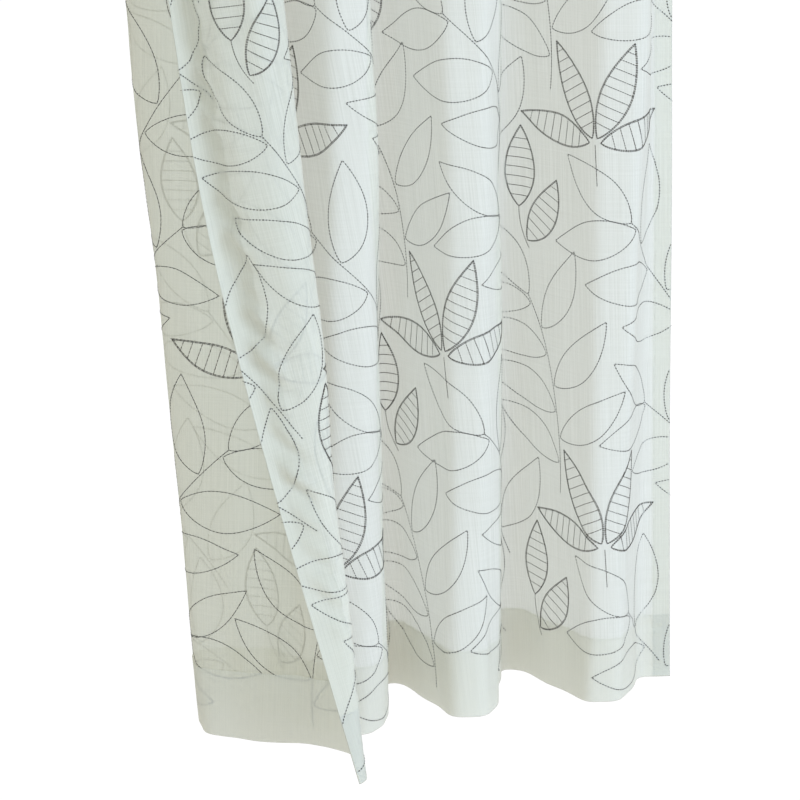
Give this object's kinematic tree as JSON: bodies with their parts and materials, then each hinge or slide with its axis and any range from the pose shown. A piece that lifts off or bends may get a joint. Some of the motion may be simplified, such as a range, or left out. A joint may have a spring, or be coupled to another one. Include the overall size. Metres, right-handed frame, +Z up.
{
  "type": "sheer voile curtain",
  "caption": "One hung panel of sheer off-white voile in deep uneven folds, its leading edge turned back, with a deep bottom hem and an embroidered leaf pattern.",
  "frame": {"origin": "in the top edge, midway along the second fold's return, where the heading is held", "axes": "+Z up, +X to the right and +Y away from a viewer who faces the curtain"},
  "size_m": [0.7774, 0.3542, 1.9825],
  "materials": {
    "voile": "matte"
  },
  "bodies": {
    "root": {"curtain_panel": "voile"}
  },
  "joints": []
}
